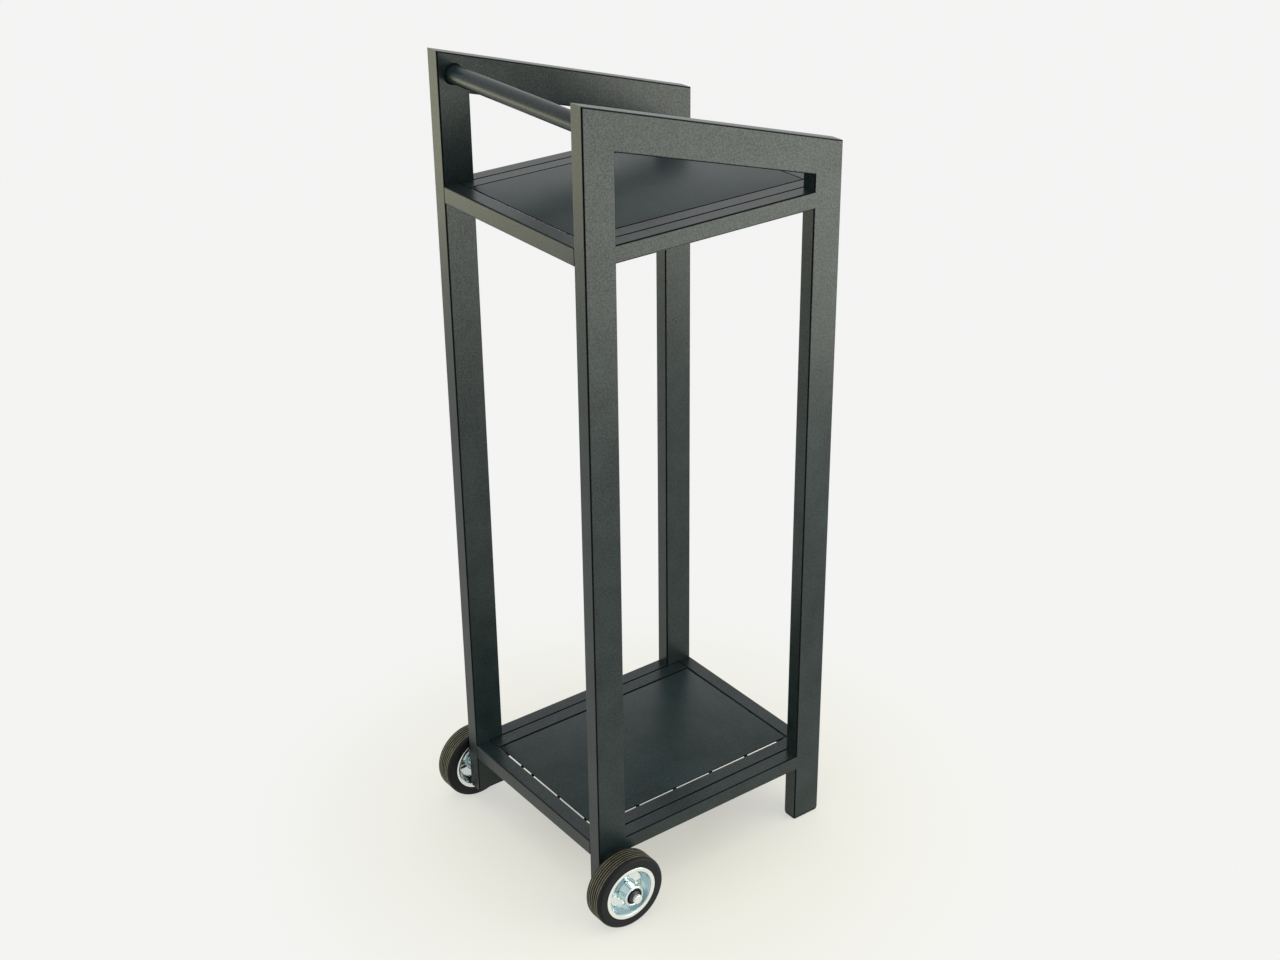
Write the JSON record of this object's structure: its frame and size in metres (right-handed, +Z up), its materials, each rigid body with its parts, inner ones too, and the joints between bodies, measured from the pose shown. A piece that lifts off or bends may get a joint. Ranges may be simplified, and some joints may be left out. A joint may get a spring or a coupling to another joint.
{
  "type": "fireside log cart",
  "caption": "Upright steel firewood cart with a log deck, a shelf, a round handle bar between sloping side frames, rubber-tyred rear wheels and front feet.",
  "frame": {"origin": "on the floor, at the middle of the rectangle that the cart covers, wheels and axle ends included", "axes": "+X across the cart to the right of a person who pushes it, +Y to the front (the feet), -Y to the rear (handle and wheels), +Z up"},
  "size_m": [0.4092, 0.3942, 1.05],
  "materials": {
    "powder_coat": "fine-textured anthracite powder coat, satin",
    "zinc": "blue-bright zinc plate on pressed steel",
    "bright_steel": "turned bright steel",
    "spring_steel": "dark oiled spring steel",
    "tyre_rubber": "matt black solid rubber",
    "black_plastic": "matt moulded plastic"
  },
  "bodies": {
    "frame": {"right_rear_post": "powder_coat", "right_front_post": "powder_coat", "right_top_bar": "powder_coat", "right_shelf_side_rail": "powder_coat", "right_deck_side_rail": "powder_coat", "left_rear_post": "powder_coat", "left_front_post": "powder_coat", "left_top_bar": "powder_coat", "left_shelf_side_rail": "powder_coat", "left_deck_side_rail": "powder_coat", "handle_bar": "powder_coat", "shelf_rear_rail": "powder_coat", "shelf_front_rail": "powder_coat", "shelf_right_rail": "powder_coat", "shelf_left_rail": "powder_coat", "shelf_sheet": "powder_coat", "shelf_tack_welds": "powder_coat", "deck_rear_rail": "powder_coat", "deck_front_rail": "powder_coat", "deck_right_rail": "powder_coat", "deck_left_rail": "powder_coat", "deck_sheet": "powder_coat", "deck_tack_welds": "powder_coat", "right_front_foot": "black_plastic", "left_front_foot": "black_plastic", "right_rear_cap": "black_plastic", "left_rear_cap": "black_plastic", "right_axle_pin": "bright_steel", "right_axle_washer": "zinc", "right_retaining_ring": "spring_steel", "left_axle_pin": "bright_steel", "left_axle_washer": "zinc", "left_retaining_ring": "spring_steel"},
    "right_wheel": {"right_tyre": "tyre_rubber", "right_rim_outer_half": "zinc", "right_rim_inner_half": "zinc", "right_rim_tabs": "zinc", "right_hub_tube": "zinc", "right_hub_bush": "black_plastic"},
    "left_wheel": {"left_tyre": "tyre_rubber", "left_rim_outer_half": "zinc", "left_rim_inner_half": "zinc", "left_rim_tabs": "zinc", "left_hub_tube": "zinc", "left_hub_bush": "black_plastic"}
  },
  "joints": [
    {"name": "right_wheel_spin", "type": "hinge", "parent": "frame", "child": "right_wheel", "pos_m": [0.1748, -0.14713, 0.05], "axis": [1, 0, 0], "continuous": true},
    {"name": "left_wheel_spin", "type": "hinge", "parent": "frame", "child": "left_wheel", "pos_m": [-0.1748, -0.14713, 0.05], "axis": [1, 0, 0], "continuous": true}
  ]
}
